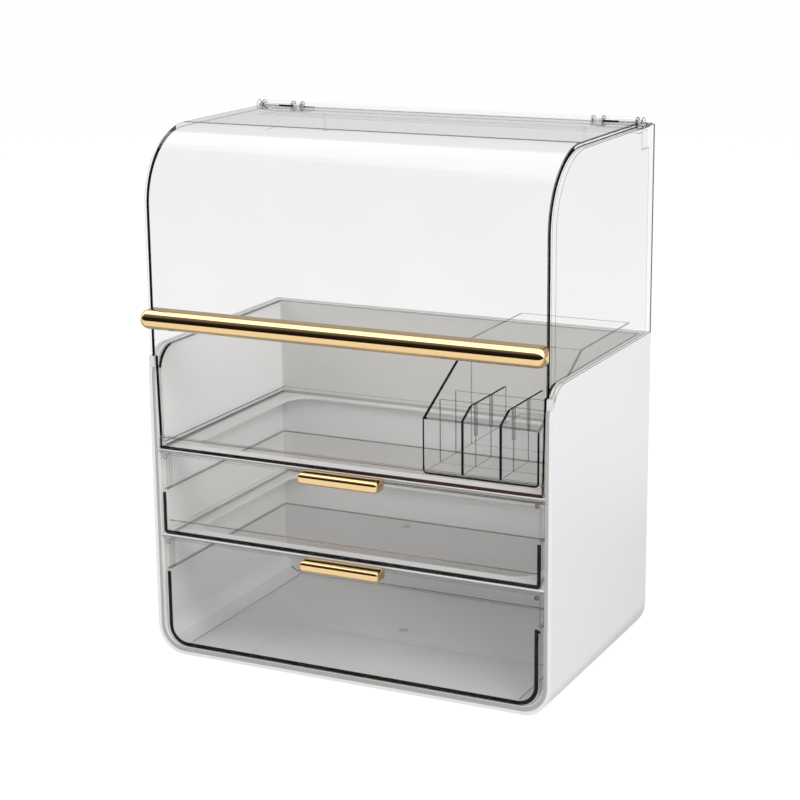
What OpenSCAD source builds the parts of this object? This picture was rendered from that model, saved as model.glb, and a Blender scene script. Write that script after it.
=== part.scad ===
// Desk-top cosmetics organizer: a pale two-drawer body, a smoky top tray under a
// clear flip-up lid, and a lift-out lipstick rack.
// Millimetres. X is across, -Y is the front, +Z is up. The origin is on the table,
// below the middle of the body.

/* [Body] */
// Width of the body
body_w = 300; // [270:1:380]
// Depth of the body, front to back
body_d = 182; // [170:1:240]
// Height of the body's side walls above the table
body_h = 222; // [212:1:260]
// Thickness of the body's walls
wall = 5; // [4:0.5:7]
// Thickness of the body's floor
floor_t = 5.6; // [4:0.2:7]
// Outer radius of the two long bottom edges
edge_r = 21; // [18:0.5:26]
// Radius of the front top corner of each side wall
shoulder_r = 20; // [14:0.5:24]
// Clear height of the lower drawer's bay
lower_bay_h = 80.6; // [70:0.2:86]
// Clear height of the upper drawer's bay
upper_bay_h = 60; // [50:0.2:62]
// Thickness of the two open frames between the bays
frame_t = 2; // [1.6:0.2:3]
// Width of a frame's ledge along the side walls
ledge_side = 16; // [12:1:30]
// Width of a frame's ledge at the front
ledge_front = 18; // [12:1:30]
// Width of a frame's ledge at the back
ledge_back = 6; // [4:1:20]
// Corner radius of a frame's opening
ledge_r = 18; // [6:1:30]

/* [Top tray] */
// Thickness of the tray's walls
tray_wall = 2.2; // [1.8:0.1:3]
// Thickness of the tray's floor
tray_floor = 2.4; // [1.8:0.1:3]
// Height of the rim that the tray stands on
tray_foot = 2; // [1:0.2:3]
// Height of the tray's front lip above the frame
tray_lip_h = 8; // [6:0.5:14]
// How much each side wall leans out from bottom to top
tray_lean = 1; // [0.6:0.2:4]

/* [Drawers] */
// Thickness of a drawer's walls and floor
tub_wall = 2.2; // [1.8:0.1:3]
// Clearance between a drawer and the body's side wall
drawer_side_gap = 2.4; // [1.6:0.2:4]
// Clearance under and over a drawer
drawer_gap = 0.6; // [0.3:0.1:1]
// Clearance behind a closed drawer
drawer_back_gap = 4; // [2:0.5:12]
// Height of the upper drawer's side walls
upper_tub_h = 31.8; // [24:0.2:40]
// Height of the lower drawer's side walls
lower_tub_h = 55.8; // [40:0.2:62]
// Height of the rim under the upper drawer
upper_foot = 1.6; // [1:0.2:3]
// Radius of the lower drawer's bottom edges
lower_tub_r = 14; // [10:0.5:15]
// Height of the low front rim inside the upper drawer
tub_lip_h = 9; // [6:0.5:14]
// Thickness of a drawer's front plate
front_t = 2.8; // [2.4:0.1:4]
// Depth of the folded edge behind a front plate
return_d = 7; // [4:0.5:12]

/* [Pulls] */
// Length of a drawer pull
pull_l = 60; // [40:1:90]
// Height of a drawer pull
pull_h = 8; // [7:0.5:12]
// How far a pull stands out
pull_d = 10.5; // [8:0.5:16]
// Radius of a pull's front edges
pull_r = 3; // [1.5:0.25:3.5]
// How far a pull's top stands above its front plate
pull_rise = 1.4; // [0:0.2:1.4]
// Distance between a pull's two screws
pull_pitch = 36; // [20:1:38]
// Radius of a screw's thread
screw_r = 1.5; // [1.2:0.1:1.8]
// Radius of a screw's head
screw_head_r = 2.8; // [2.4:0.1:3]
// Thickness of a screw's head
screw_head_t = 1.4; // [1:0.1:2]
// Length of a screw in its pull
screw_bite = 6; // [4:0.5:7]

/* [Canopy] */
// Height of the closed lid's top above the body's side walls
canopy_h = 149.2; // [110:1:190]
// Thickness of the lid
lid_t = 3; // [2:0.25:4]
// Thickness of the fixed surround's walls
surround_t = 3; // [2:0.25:4]
// Outer radius of the lid's bend
lid_r = 52; // [30:1:80]
// Clearance between the lid's edge and the surround's side wall
lid_side_gap = 0.6; // [0.4:0.1:1.5]
// Height of the lid's shoulder below the body's side walls
shoulder_drop = 6; // [4:0.5:9]
// Clearance between the lid's apron and the body, at its top
apron_gap = 0.8; // [0.6:0.1:1.5]
// How much the apron narrows on each side towards its bottom
apron_taper = 1.2; // [0.8:0.2:5]
// Gap between the apron and the tray's lip
lip_gap = 0.6; // [0.4:0.1:1.5]
// Distance from the hinge axis to the surround's back face
hinge_back = 21; // [16:0.5:40]
// Radius of a hinge barrel
barrel_r = 3.6; // [3:0.1:5]
// Radius of a hinge pin
pin_r = 1.5; // [1:0.1:2]
// Width of each outer knuckle
outer_knuckle_w = 4.4; // [4:0.2:9]
// Width of each inner knuckle
inner_knuckle_w = 7.6; // [4:0.2:10]
// Width of the lid's barrel between two knuckles
barrel_w = 23.6; // [14:0.2:30]

/* [Lid bar] */
// Length of the gold bar
bar_l = 298; // [200:1:300]
// Radius of the bar's round front
bar_r = 6.75; // [5:0.25:9]
// Radius of the bar's ends, seen from above
bar_end_r = 6; // [2:0.25:8]
// Height of the bar's middle above the body's side walls
bar_rise = 21.8; // [14:0.2:60]
// Distance between the bar's screws
bar_pitch = 110; // [60:1:120]

/* [Lipstick rack] */
// Width of the rack
rack_w = 83; // [70:1:110]
// Clearance between the rack and the tray's side wall
rack_side_gap = 2.4; // [0.3:0.1:4]
// Clearance between the rack's front and the tray's open front
rack_front_gap = 2; // [1:0.5:6]
// Clearance between the rack and the tray's back wall
rack_back_gap = 3.4; // [1:0.2:60]
// Height of the rack's front wall
rack_front_h = 37.4; // [30:0.2:50]
// Height of the rack's back
rack_back_h = 75.4; // [56:0.2:80]
// Thickness of the rack's walls
rack_wall = 2; // [1.6:0.1:3]
// Thickness of the rack's dividers
divider_t = 1.8; // [1.4:0.1:2.4]
// Height of the dividers above the tray's floor
divider_h = 45.4; // [36:0.2:54]
// Depth of the whole block of small cells
cells_d = 74; // [66:1:90]
// Distance between the two cross dividers, and from them to the partition
cell_pitch_y = 24.9; // [18:0.1:29]
// Clearance in a divider's slots
slot_gap = 0.1; // [0.05:0.05:0.2]

/* [Hidden] */
$fn = 96;

// Cutting overshoot, seating gap and running clearances
over = 1;
seat = 0.2;
pin_press = 0.02;
pin_run = 0.08;
hole_gap = 0.2;

// Colours
pale = "whitesmoke";
smoky = [0.35, 0.34, 0.33, 0.45];
clear = [0.86, 0.9, 0.92, 0.3];
gold = "goldenrod";
steel = "dimgray";
rubber = "lightgray";

// Body faces
half_w = body_w / 2;
front_y = -body_d / 2;
back_y = body_d / 2;
inner_x = half_w - wall;
inner_back_y = back_y - wall;
floor_z = floor_t;
inner_edge_r = edge_r - wall;
shoulder_y = front_y + shoulder_r;
shoulder_z = body_h - shoulder_r;

// Frames
divider_z = floor_z + lower_bay_h;
upper_bay_z = divider_z + frame_t;
tray_frame_z = upper_bay_z + upper_bay_h;
tray_z = tray_frame_z + frame_t;
groove_d = 1.5;
frame_setback = 0.6;

// Lid and surround
lid_top_z = body_h + canopy_h;
lid_front_y = front_y;
lid_half_w = half_w - surround_t - lid_side_gap;
bend_y = lid_front_y + lid_r;
bend_z = lid_top_z - lid_r;
lid_shoulder_z = body_h - shoulder_drop;
apron_top_x = inner_x - apron_gap;
apron_bottom_x = apron_top_x - apron_taper;
tray_lip_z = tray_z + tray_lip_h;
apron_z = tray_lip_z + lip_gap;
surround_top_z = lid_top_z - lid_t - seat;
surround_front_y = lid_front_y + lid_t + seat;
surround_r = lid_r - lid_t - seat;
hinge_y = back_y - hinge_back;
hinge_z = lid_top_z;

// Hinge pieces, as distances from the middle of the object
knuckle_end_gap = 0.4;
knuckle_setback = 0.6;
outer_x1 = half_w - knuckle_setback;
outer_x0 = outer_x1 - outer_knuckle_w;
barrel_x1 = outer_x0 - knuckle_end_gap;
barrel_x0 = barrel_x1 - barrel_w;
inner_x1 = barrel_x0 - knuckle_end_gap;
inner_x0 = inner_x1 - inner_knuckle_w;
rim_t = 2.6;
sweep_gap = 0.3;
rim_sweep = norm([rim_t + knuckle_end_gap, barrel_r]) + sweep_gap;
land_t = 2;
land_z = hinge_z - rim_sweep - land_t;
land_front_y = hinge_y - rim_sweep - sweep_gap;
foot_t = 1;
foot_gap = 2;
foot_y = hinge_y + barrel_r + foot_gap;
web_back_y = foot_y + foot_gap;
gusset_t = 1.8;
gusset_h = 12;
gusset_offset = 12;
gusset_inner_x = inner_x0 - gusset_offset;
gusset_inner_d = 7;
gusset_outer_d = 14;

// Bumpers on the shoulders
bumper_r = 1.35;
bumper_h = 6.7;
bumper_gap = 0.3;
bumper_top = lid_shoulder_z - bumper_gap;
bumper_z = bumper_top - bumper_h;
bumper_y = front_y + seat + bumper_r;
bumper_setback = 0.6;
bumper_w = wall - bumper_setback * 2;
bumper_x = half_w - wall / 2;

// Tray
tray_gap = 0.4;
tray_r_less = 2;
tray_top_z = body_h - tray_gap;
tray_top_x = inner_x - tray_gap;
tray_bottom_x = tray_top_x - tray_lean;
tray_front_y = front_y + lid_t + tray_gap + seat;
tray_back_y = inner_back_y - tray_gap;
tray_floor_z = tray_z + tray_foot;
tray_floor_top = tray_floor_z + tray_floor;
tray_r = shoulder_r - tray_r_less;
lip_t = lid_t - tray_gap;

// Drawers
drawer_x = inner_x - drawer_side_gap;
plate_y = front_y + seat;
tub_front_y = plate_y + front_t;
tub_back_y = inner_back_y - drawer_back_gap;
upper_slip = 0.4;
upper_z = upper_bay_z + upper_slip;
lower_z = floor_z + drawer_gap;
upper_front_h = upper_bay_h - upper_slip - drawer_gap;
lower_front_h = lower_bay_h - drawer_gap * 2;
upper_plate_r = 1;
upper_tub_r = 3;
return_t = 2;
button_r = 1.5;
button_t = 0.8;
button_inset = 3;

// Rack
rack_x1 = tray_bottom_x - tray_wall - rack_side_gap;
rack_x0 = rack_x1 - rack_w;
rack_y0 = tray_front_y + rack_front_gap;
rack_y1 = tray_back_y - tray_wall - rack_back_gap;
rack_z = tray_floor_top;
rack_floor_z = rack_z + rack_wall;
partition_y = rack_y0 + cells_d;
cell_pitch_x = (rack_w - rack_wall) / 3;

// Extrudes an outline drawn in (Y, Z) along X, centred
module along_x(len) { rotate([90, 0, 90]) linear_extrude(len, center = true) children(); }

// Extrudes an outline drawn in (X, Z) from y0 back to y1
module along_y(y0, y1) {
    translate([0, y1, 0]) rotate([90, 0, 0]) linear_extrude(y1 - y0) children();
}

// Block given by its lowest and highest corners
module block(a, b) { translate(a) cube(b - a); }

// Copies the children to the right and, mirrored, to the left
module both_sides() {
    children();
    mirror([1, 0, 0]) children();
}

// Round bar along X from x0 to x1, centred on (y, z)
module rod_x(x0, x1, y, z, r) {
    translate([x0, y, z]) rotate([0, 90, 0]) cylinder(h = x1 - x0, r = r);
}

// Round bar along Y from y0 to y1, centred on (x, z)
module rod_y(y0, y1, x, z, r) {
    translate([x, y1, z]) rotate([90, 0, 0]) cylinder(h = y1 - y0, r = r);
}

// Rectangle from z0 up to z1, centred on X, with rounded bottom corners
module round_bottom(half, z0, z1, r) {
    translate([-half, z0 + r]) square([half * 2, z1 - z0 - r]);
    translate([-half + r, z0]) square([(half - r) * 2, r * 2]);
    for (side = [-1, 1]) translate([side * (half - r), z0 + r]) circle(r);
}

// Rectangle from (0, 0) to (w, h) with four rounded corners
module round_rect(w, h, r) {
    translate([r, 0]) square([w - r * 2, h]);
    translate([0, r]) square([w, h - r * 2]);
    for (x = [r, w - r], y = [r, h - r]) translate([x, y]) circle(r);
}

// Side view of the body's side wall: square but for the front top corner
module side_outline() {
    translate([front_y, 0]) square([body_d, shoulder_z]);
    translate([shoulder_y, 0]) square([back_y - shoulder_y, body_h]);
    translate([shoulder_y, shoulder_z]) circle(shoulder_r);
}

// Seats of the bumpers in the shoulders
module bumper_seats() {
    both_sides()
        block([inner_x - over, front_y - over, bumper_z],
              [half_w + over, bumper_y + bumper_r + seat, body_h]);
}

module body_shell() {
    color(pale) difference() {
        intersection() {
            along_y(front_y, back_y) round_bottom(half_w, 0, body_h, edge_r);
            along_x(body_w + over) side_outline();
        }
        along_y(front_y - over, inner_back_y)
            round_bottom(inner_x, floor_z, body_h + over * 2, inner_edge_r);
        for (z = [divider_z, tray_frame_z])
            block([-inner_x - groove_d, front_y + frame_setback, z],
                  [inner_x + groove_d, inner_back_y, z + frame_t + seat]);
        bumper_seats();
    }
}

// Thin frame with one large rounded opening, held in grooves of the side walls
module open_frame(z) {
    half = inner_x + groove_d - seat;
    opening_w = (inner_x - ledge_side) * 2;
    opening_y = front_y + ledge_front;
    translate([0, 0, z]) linear_extrude(frame_t) difference() {
        translate([-half, front_y + frame_setback])
            square([half * 2, inner_back_y - front_y - frame_setback]);
        translate([-opening_w / 2, opening_y])
            round_rect(opening_w, inner_back_y - ledge_back - opening_y, ledge_r);
    }
}

module divider_frame() { color(pale) open_frame(divider_z); }

module tray_frame() { color(pale) open_frame(tray_frame_z); }

// Leaning outline of the tray, from z up, drawn inset by the given amount
module tray_section(z, inset, top) {
    lean = tray_lean / (tray_top_z - tray_z);
    low = tray_bottom_x + (z - tray_z) * lean - inset;
    high = tray_bottom_x + (top - tray_z) * lean - inset;
    polygon([[-low, z], [low, z], [high, top], [-high, top]]);
}

// Side view of the tray, with the same rounded front corner as the body
module tray_side() {
    translate([tray_front_y, tray_z]) square([tray_back_y - tray_front_y, tray_top_z - tray_z - tray_r]);
    translate([tray_front_y + tray_r, tray_z])
        square([tray_back_y - tray_front_y - tray_r, tray_top_z - tray_z]);
    translate([tray_front_y + tray_r, tray_top_z - tray_r]) circle(tray_r);
}

module top_tray() {
    color(smoky) {
        difference() {
            intersection() {
                along_y(tray_front_y, tray_back_y) tray_section(tray_z, 0, tray_top_z);
                along_x(body_w) tray_side();
            }
            along_y(tray_front_y - over, tray_back_y - tray_wall)
                tray_section(tray_floor_top, tray_wall, tray_top_z + over);
            along_y(tray_front_y + tray_wall, tray_back_y - tray_wall)
                tray_section(tray_z - over, tray_wall, tray_floor_z);
        }
        along_y(plate_y, plate_y + lip_t) tray_section(tray_z, 0, tray_lip_z);
        along_y(plate_y, tray_front_y + over) tray_section(tray_z, 0, tray_floor_top);
    }
}

// Side view of the fixed surround, resting on the body's side walls
module surround_side() {
    difference() {
        union() {
            translate([surround_front_y + surround_r, shoulder_z])
                square([back_y - surround_front_y - surround_r, surround_top_z - shoulder_z]);
            translate([surround_front_y, shoulder_z])
                square([back_y - surround_front_y, surround_top_z - surround_r - shoulder_z]);
            translate([surround_front_y + surround_r, surround_top_z - surround_r])
                circle(surround_r);
        }
        translate([shoulder_y, shoulder_z - over]) square([body_d, shoulder_r + over]);
        intersection() {
            translate([shoulder_y, shoulder_z]) circle(shoulder_r + seat);
            translate([front_y - over, shoulder_z - over])
                square([shoulder_r + over, shoulder_r * 2]);
        }
    }
}

module surround() {
    color(clear) difference() {
        union() {
            both_sides() translate([half_w - surround_t / 2, 0, 0]) along_x(surround_t) surround_side();
            block([-half_w, back_y - surround_t, body_h], [half_w, back_y, surround_top_z]);
            block([-half_w + over, land_front_y, land_z], [half_w - over, back_y - over, land_z + land_t]);
            both_sides() {
                gusset(gusset_inner_x, gusset_inner_d);
                gusset(outer_x0 + over, gusset_outer_d);
            }
        }
        both_sides()
            rod_x(outer_x0 - over, half_w + over, hinge_y, hinge_z, barrel_r + seat);
    }
}

// Upright rib in the corner below the surround's top strip
module gusset(x, d) {
    block([x, back_y - surround_t - d, land_z - gusset_h], [x + gusset_t, back_y - over, land_z + over]);
}

// Knuckles on a foot that stands on the surround's top strip, for the right hinge
module hinge_bracket() {
    land_top = land_z + land_t;
    difference() {
        union() {
            for (x = [[inner_x0, inner_x1], [outer_x0, outer_x1]]) {
                rod_x(x[0], x[1], hinge_y, hinge_z, barrel_r);
                block([x[0], hinge_y, surround_top_z], [x[1], web_back_y, hinge_z - foot_t]);
            }
            block([inner_x0, foot_y, land_top], [outer_x1, back_y - surround_t, surround_top_z + foot_t]);
        }
        rod_x(inner_x0 - over, outer_x1 - over, hinge_y, hinge_z, pin_r + pin_press);
        block([half_w - surround_t, foot_y - over, land_z],
              [half_w + over, back_y + over, surround_top_z]);
    }
}

module right_hinge_bracket() { color(clear) hinge_bracket(); }

module left_hinge_bracket() { color(clear) mirror([1, 0, 0]) hinge_bracket(); }

// Pin of the right hinge
module hinge_pin() { rod_x(inner_x0, outer_x1 - over, hinge_y, hinge_z, pin_r); }

module right_hinge_pin() { color(steel) hinge_pin(); }

module left_hinge_pin() { color(steel) mirror([1, 0, 0]) hinge_pin(); }

// Clear stops on which the closed lid's shoulders rest
module lid_rest_bumpers() {
    color(rubber) both_sides() translate([bumper_x, 0, 0]) along_x(bumper_w) {
        translate([bumper_y - bumper_r, bumper_z])
            square([bumper_r * 2, bumper_h - bumper_r]);
        translate([bumper_y, bumper_top - bumper_r]) circle(bumper_r);
    }
}

// Side view of the lid: top, bend and front, all lid_t thick
module lid_side() {
    rear = hinge_y - knuckle_end_gap;
    translate([bend_y, lid_top_z - lid_t]) square([rear - bend_y, lid_t]);
    translate([lid_front_y, apron_z]) square([lid_t, bend_z - apron_z]);
    intersection() {
        difference() {
            translate([bend_y, bend_z]) circle(lid_r);
            translate([bend_y, bend_z]) circle(lid_r - lid_t);
        }
        translate([lid_front_y, bend_z]) square(lid_r);
    }
}

// Front view of the lid: full width down to the shoulders, then the tapered apron
module lid_front_outline() {
    translate([-lid_half_w, lid_shoulder_z])
        square([lid_half_w * 2, lid_top_z + barrel_r - lid_shoulder_z]);
    polygon([[-apron_bottom_x, apron_z], [apron_bottom_x, apron_z],
             [apron_top_x, lid_shoulder_z + over], [-apron_top_x, lid_shoulder_z + over]]);
}

module lid() {
    color(clear) difference() {
        union() {
            intersection() {
                along_x(body_w) lid_side();
                along_y(front_y - over, back_y) lid_front_outline();
            }
            both_sides() rod_x(barrel_x0, barrel_x1, hinge_y, hinge_z, barrel_r);
            lid_rim();
        }
        both_sides() {
            rod_x(barrel_x0 - over, barrel_x1 + over, hinge_y, hinge_z, pin_r + pin_run);
            for (x = [[inner_x0, inner_x1], [outer_x0, half_w]])
                block([x[0] - knuckle_end_gap, hinge_y - barrel_r - knuckle_end_gap * 2, bend_z],
                      [x[1] + knuckle_end_gap, hinge_y + barrel_r + over, lid_top_z + barrel_r + over]);
        }
        for (x = [-1, 0, 1])
            rod_y(lid_front_y - over, lid_front_y + lid_t + over, x * bar_pitch, bar_z, screw_r + hole_gap);
    }
}

// Raised edge along the back of the lid, between the hinges
module lid_rim() {
    y0 = hinge_y - rim_t - knuckle_end_gap;
    x = inner_x0 - knuckle_end_gap;
    block([-x, y0, lid_top_z - lid_t], [x, y0 + rim_t, lid_top_z + barrel_r - rim_t / 2]);
    rod_x(-x, x, y0 + rim_t / 2, lid_top_z + barrel_r - rim_t / 2, rim_t / 2);
}

bar_z = body_h + bar_rise;

// Bar with a flat back at y, a round front and rounded ends
module round_fronted_bar(len, y, z, h, d, r, end_r) {
    intersection() {
        along_x(len) {
            translate([y - d + r, z - h / 2]) square([d - r, h]);
            translate([y - d, z - h / 2 + r]) square([d, h - r * 2]);
            for (side = [-1, 1]) translate([y - d + r, z + side * (h / 2 - r)]) circle(r);
        }
        translate([0, 0, z - h]) linear_extrude(h * 2) {
            translate([-len / 2, y - d + end_r]) square([len, d - end_r]);
            translate([-len / 2 + end_r, y - d]) square([len - end_r * 2, d]);
            for (side = [-1, 1]) translate([side * (len / 2 - end_r), y - d + end_r]) circle(end_r);
        }
    }
}

// Blind screw holes in the back of a bar
module screw_bores(xs, y, z) {
    for (x = xs) rod_y(y - screw_bite - seat, y + over, x, z, screw_r + pin_press);
}

module lid_bar() {
    bar_d = bar_r * 2;
    color(gold) difference() {
        round_fronted_bar(bar_l, lid_front_y, bar_z, bar_r * 2 + 0.01, bar_d, bar_r, bar_end_r);
        screw_bores([for (i = [-1, 0, 1]) i * bar_pitch], lid_front_y, bar_z);
    }
}

// Screws with round heads, driven forward from the plate's back face at y
module screws(xs, y, t, z) {
    for (x = xs) {
        rod_y(y - t - screw_bite, y, x, z, screw_r);
        rod_y(y, y + screw_head_t, x, z, screw_head_r);
    }
}

module lid_bar_screws() {
    color(steel) screws([for (i = [-1, 0, 1]) i * bar_pitch], lid_front_y + lid_t, lid_t, bar_z);
}

// Drawer tub from z up, with walls h high and bottom edges of radius r
module drawer_tub(z, h, r, foot, lip) {
    base = z + foot + tub_wall;
    inner_r = max(r - tub_wall, 0.5);
    difference() {
        along_y(tub_front_y, tub_back_y) round_bottom(drawer_x, z, z + h, r);
        along_y(tub_front_y + tub_wall, tub_back_y - tub_wall)
            round_bottom(drawer_x - tub_wall, base, z + h + over * 3, inner_r);
        along_y(tub_front_y - over, tub_front_y + tub_wall + over) intersection() {
            round_bottom(drawer_x - tub_wall, base, z + h + over * 3, inner_r);
            translate([-drawer_x, z + lip]) square([drawer_x * 2, h + over]);
        }
        if (foot > 0)
            along_y(tub_front_y + tub_wall, tub_back_y - tub_wall)
                translate([-drawer_x + tub_wall + r, z - over])
                    square([(drawer_x - tub_wall - r) * 2, foot + over]);
    }
}

// Front plate from z up, with a shallow folded edge behind its upper part
module drawer_front(z, h, r, tub_h) {
    xs = pull_screw_xs;
    screw_z = pull_screw_z(z + h);
    color(smoky) difference() {
        union() {
            along_y(plate_y, tub_front_y) round_bottom(drawer_x, z, z + h, r);
            both_sides()
                block([drawer_x - return_t, plate_y + over, z + tub_h + seat],
                      [drawer_x, tub_front_y + return_d, z + h]);
            block([-drawer_x, plate_y + over, z + h - return_t],
                  [drawer_x, tub_front_y + return_d / 2, z + h]);
        }
        for (x = xs) {
            rod_y(plate_y - over, tub_front_y + over, x, screw_z, screw_r + hole_gap);
            rod_y(tub_front_y, tub_front_y + return_d, x, screw_z, screw_head_r + hole_gap);
        }
        for (x = [-1, 1])
            rod_y(plate_y - over, plate_y + button_t, x * (drawer_x - button_inset),
                  z + h - button_inset, button_r);
    }
}

// Places of a pull's screws, on a front plate whose top is at z: their heads stay below that top
pull_screw_xs = [-pull_pitch / 2, pull_pitch / 2];
function pull_screw_z(z) = z + min(pull_rise - pull_h / 2, -screw_head_r - hole_gap);

// Gold pull on a front plate whose top is at z
module drawer_pull(z) {
    color(gold) difference() {
        round_fronted_bar(pull_l, plate_y, z + pull_rise - pull_h / 2, pull_h, pull_d, pull_r, pull_r);
        screw_bores(pull_screw_xs, plate_y, pull_screw_z(z));
    }
}

module drawer_screws(z) {
    color(steel) screws(pull_screw_xs, tub_front_y, front_t, pull_screw_z(z));
}

// Small round buttons let into the front plate's upper corners
module drawer_buttons(z) {
    color(steel) for (x = [-1, 1])
        rod_y(plate_y - seat, plate_y + button_t, x * (drawer_x - button_inset), z - button_inset, button_r);
}

module upper_drawer_tub() {
    color(smoky) drawer_tub(upper_z, upper_tub_h, upper_tub_r, upper_foot, tub_lip_h);
}

module upper_drawer_front() { drawer_front(upper_z, upper_front_h, upper_plate_r, upper_tub_h); }

module upper_drawer_pull() { drawer_pull(upper_z + upper_front_h); }

module upper_drawer_screws() { drawer_screws(upper_z + upper_front_h); }

module upper_drawer_buttons() { drawer_buttons(upper_z + upper_front_h); }

module lower_drawer_tub() {
    color(smoky) drawer_tub(lower_z, lower_tub_h, lower_tub_r, 0, 0);
}

module lower_drawer_front() { drawer_front(lower_z, lower_front_h, lower_tub_r, lower_tub_h); }

module lower_drawer_pull() { drawer_pull(lower_z + lower_front_h); }

module lower_drawer_screws() { drawer_screws(lower_z + lower_front_h); }

module lower_drawer_buttons() { drawer_buttons(lower_z + lower_front_h); }

// Side view of the rack: low front, slope up to the partition, level to the back
module rack_side(z0) {
    polygon([[rack_y0, z0], [rack_y0, rack_z + rack_front_h],
             [partition_y, rack_z + rack_back_h], [rack_y1, rack_z + rack_back_h], [rack_y1, z0]]);
}

module rack_shell() {
    color(clear) difference() {
        translate([(rack_x0 + rack_x1) / 2, 0, 0]) along_x(rack_w) rack_side(rack_z);
        block([rack_x0 + rack_wall, rack_y0 + rack_wall, rack_floor_z],
              [rack_x1 - rack_wall, rack_y1 - rack_wall, rack_z + rack_back_h + over]);
    }
}

module rack_partition() {
    color(clear) block([rack_x0 + rack_wall, partition_y - divider_t, rack_floor_z],
                       [rack_x1 - rack_wall, partition_y, rack_z + rack_back_h]);
}

// Slope of the rack's sides, from the front wall up to the partition
rack_slope = (rack_back_h - rack_front_h) / cells_d;

// Height at which the crossing dividers' slots meet
slot_z = (rack_floor_z + rack_z + divider_h) / 2;

function cross_y(i) = partition_y - divider_t / 2 - (3 - i) * cell_pitch_y;
function long_x(i) = rack_x0 + rack_wall / 2 + i * cell_pitch_x;

// Divider along the rack, level but for its front corner, with slots cut from below
module long_divider(i) {
    front = rack_y0 + rack_wall;
    back = partition_y - divider_t;
    top = rack_z + divider_h;
    color(clear) difference() {
        translate([long_x(i), 0, 0]) along_x(divider_t) intersection() {
            translate([front, rack_floor_z]) square([back - front, top - rack_floor_z]);
            rack_side(rack_z);
        }
        for (j = [1, 2])
            block([long_x(i) - divider_t, cross_y(j) - divider_t / 2 - slot_gap, rack_floor_z - over],
                  [long_x(i) + divider_t, cross_y(j) + divider_t / 2 + slot_gap, slot_z + slot_gap]);
    }
}

module rack_long_divider_left() { long_divider(1); }

module rack_long_divider_right() { long_divider(2); }

// Divider across the rack, with slots cut from above
module cross_divider(j) {
    color(clear) difference() {
        block([rack_x0 + rack_wall, cross_y(j) - divider_t / 2, rack_floor_z],
              [rack_x1 - rack_wall, cross_y(j) + divider_t / 2, rack_z + divider_h]);
        for (i = [1, 2])
            block([long_x(i) - divider_t / 2 - slot_gap, cross_y(j) - divider_t, slot_z],
                  [long_x(i) + divider_t / 2 + slot_gap, cross_y(j) + divider_t, rack_z + divider_h + over]);
    }
}

module rack_cross_divider_front() { cross_divider(1); }

module rack_cross_divider_rear() { cross_divider(2); }

body_shell();
divider_frame();
tray_frame();
top_tray();
surround();
left_hinge_bracket();
right_hinge_bracket();
left_hinge_pin();
right_hinge_pin();
lid_rest_bumpers();
lid();
lid_bar();
lid_bar_screws();
upper_drawer_tub();
upper_drawer_front();
upper_drawer_pull();
upper_drawer_screws();
upper_drawer_buttons();
lower_drawer_tub();
lower_drawer_front();
lower_drawer_pull();
lower_drawer_screws();
lower_drawer_buttons();
rack_shell();
rack_partition();
rack_long_divider_left();
rack_long_divider_right();
rack_cross_divider_front();
rack_cross_divider_rear();
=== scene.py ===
"""Looks of a desk-top cosmetics organizer: pale body, smoky drawers, clear lid, gold trim.

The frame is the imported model's own: X across, -Y the front, +Z up. Places and sizes on the object are
in millimetres, and MM turns them into metres. The studio and the materials' grain are in metres.
"""

import math

import bmesh
import bpy
from mathutils import Matrix, Vector


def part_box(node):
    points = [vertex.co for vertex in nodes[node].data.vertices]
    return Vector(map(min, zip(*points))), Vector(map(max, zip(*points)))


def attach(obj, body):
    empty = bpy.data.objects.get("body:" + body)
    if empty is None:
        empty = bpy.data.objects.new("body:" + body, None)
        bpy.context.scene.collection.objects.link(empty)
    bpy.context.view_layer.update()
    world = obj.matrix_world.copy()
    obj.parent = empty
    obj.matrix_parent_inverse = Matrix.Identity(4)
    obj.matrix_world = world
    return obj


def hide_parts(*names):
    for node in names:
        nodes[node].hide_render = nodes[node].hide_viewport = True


MM = 0.001

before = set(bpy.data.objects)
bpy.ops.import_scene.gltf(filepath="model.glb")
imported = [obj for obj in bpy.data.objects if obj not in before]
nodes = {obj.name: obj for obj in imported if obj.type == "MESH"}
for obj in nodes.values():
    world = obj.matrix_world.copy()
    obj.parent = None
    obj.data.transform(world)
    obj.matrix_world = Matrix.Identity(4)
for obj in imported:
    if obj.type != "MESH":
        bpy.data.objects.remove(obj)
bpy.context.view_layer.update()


# ---------------------------------------------------------------- node graphs


class Value:
    """A number or colour socket that takes part in arithmetic."""

    def __init__(self, graph, socket):
        self.graph = graph
        self.socket = socket

    def _math(self, operation, *others):
        return self.graph.math(operation, self, *others)

    def __add__(self, other):
        return self._math("ADD", other)

    def __sub__(self, other):
        return self._math("SUBTRACT", other)

    def __mul__(self, other):
        return self._math("MULTIPLY", other)

    def __abs__(self):
        return self._math("ABSOLUTE")

    def __gt__(self, other):
        return self._math("GREATER_THAN", other)

    def __lt__(self, other):
        return self._math("LESS_THAN", other)

    def either(self, other):
        """The larger of two masks."""
        return self._math("MAXIMUM", other)

    def flipped(self):
        """One minus this mask."""
        return self._math("MULTIPLY_ADD", -1.0, 1.0)


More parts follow.
